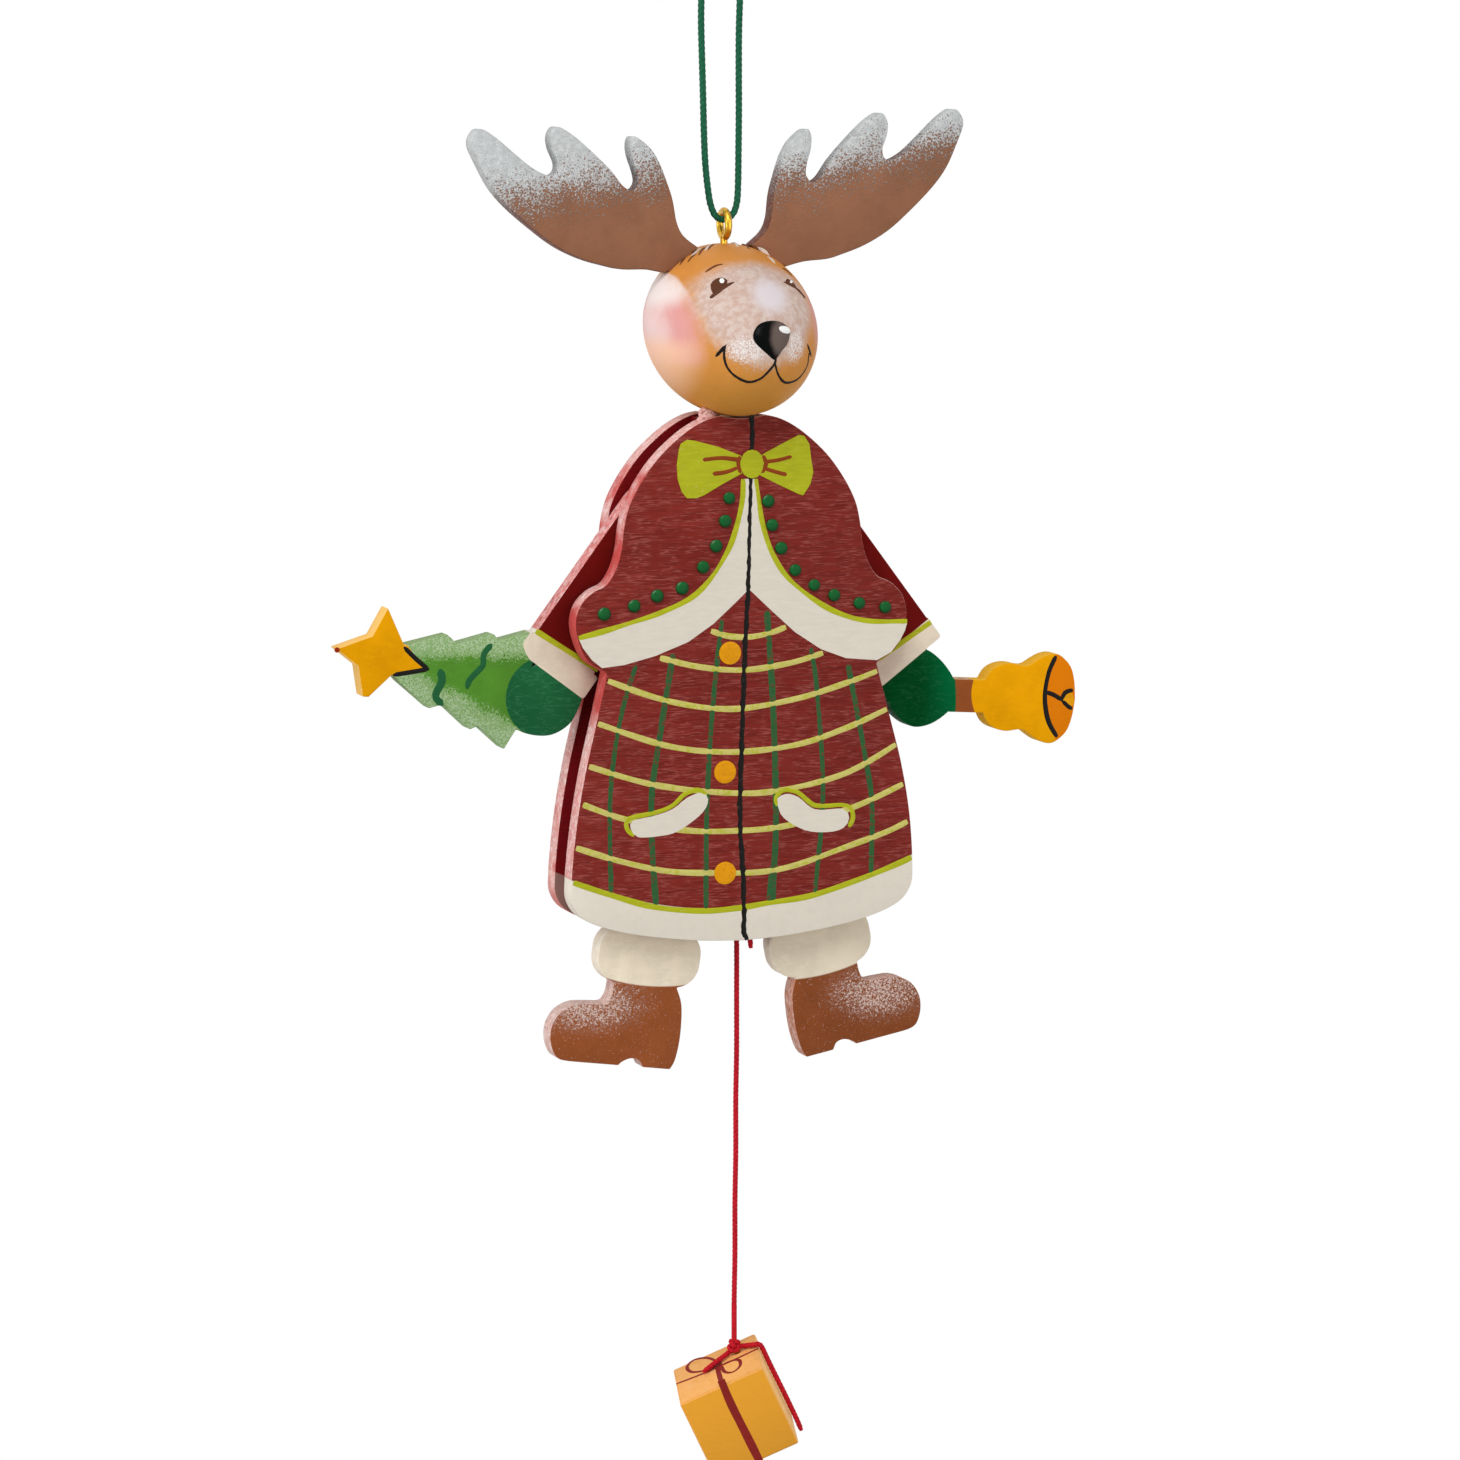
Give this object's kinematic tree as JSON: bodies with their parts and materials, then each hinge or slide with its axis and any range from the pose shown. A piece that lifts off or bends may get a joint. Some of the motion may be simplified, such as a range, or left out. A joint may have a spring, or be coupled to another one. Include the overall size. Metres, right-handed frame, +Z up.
{
  "type": "pull string jumping jack",
  "caption": "Flat wooden moose figure on a hanging loop; drawing down the string with a small gift swings its arms and legs up between the coat panels.",
  "frame": {"origin": "crown of the hanging loop, where a hook carries it", "axes": "+Z up, -Y out of the painted front, +X to the viewer's right"},
  "size_m": [0.0883, 0.0256, 0.1767],
  "materials": {
    "coat_wood": "hand painted dark red with plaid, cream trim and green dots",
    "bare_wood": "unpainted",
    "head_wood": "painted orange tan with a frosted muzzle and pink cheeks",
    "antler_wood": "painted brown with sponged grey-white tines",
    "brass_wire": "bright",
    "green_cord": "twisted cotton",
    "arm_wood": "painted sleeve, cuff and mitten with a tree or a bell",
    "leg_wood": "painted cream cuff and brown boot",
    "red_cord": "twisted cotton",
    "gift_wood": "painted orange yellow with a dark ribbon"
  },
  "bodies": {
    "body": {"front_panel": "coat_wood", "back_panel": "coat_wood", "neck_block": "bare_wood", "neck_dowel": "bare_wood", "head": "head_wood", "antler_left": "antler_wood", "antler_right": "antler_wood", "screw_eye": "brass_wire", "hang_loop": "green_cord", "hang_knot": "green_cord", "arm_peg_left": "bare_wood", "arm_peg_right": "bare_wood", "leg_peg_left": "bare_wood", "leg_peg_right": "bare_wood"},
    "pull": {"arm_link_cord": "red_cord", "leg_link_cord": "red_cord", "arm_link_knot": "red_cord", "leg_link_knot": "red_cord", "pull_cord": "red_cord", "cord_tail": "red_cord", "gift_box": "gift_wood", "gift_knot": "red_cord", "tie_end_long": "red_cord", "tie_end_short": "red_cord"},
    "arm_left": {"arm_left": "arm_wood"},
    "arm_right": {"arm_right": "arm_wood"},
    "leg_left": {"leg_left": "leg_wood"},
    "leg_right": {"leg_right": "leg_wood"}
  },
  "joints": [
    {"name": "pull", "type": "slide", "parent": "body", "child": "pull", "axis": [0, 0, -1], "range_m": [0, 0.006], "deforming": ["arm_link_cord", "leg_link_cord"]},
    {"name": "arm_left_swing", "type": "hinge", "parent": "body", "child": "arm_left", "pos_m": [-0.009, 0, -0.06593], "axis": [0, 1, 0], "range_deg": [0, 66.2]},
    {"name": "arm_right_swing", "type": "hinge", "parent": "body", "child": "arm_right", "pos_m": [0.009, 0, -0.06593], "axis": [0, -1, 0], "range_deg": [0, 66.2]},
    {"name": "leg_left_swing", "type": "hinge", "parent": "body", "child": "leg_left", "pos_m": [-0.0086, 0, -0.10494], "axis": [0, 1, 0], "range_deg": [0, 60.1]},
    {"name": "leg_right_swing", "type": "hinge", "parent": "body", "child": "leg_right", "pos_m": [0.0086, 0, -0.10494], "axis": [0, -1, 0], "range_deg": [0, 60.1]}
  ],
  "couplings": [
    {"joint": "arm_left_swing", "follows": "pull", "rad_per_m": 192.31},
    {"joint": "arm_right_swing", "follows": "pull", "rad_per_m": 192.31},
    {"joint": "leg_left_swing", "follows": "pull", "rad_per_m": 174.53},
    {"joint": "leg_right_swing", "follows": "pull", "rad_per_m": 174.53}
  ]
}
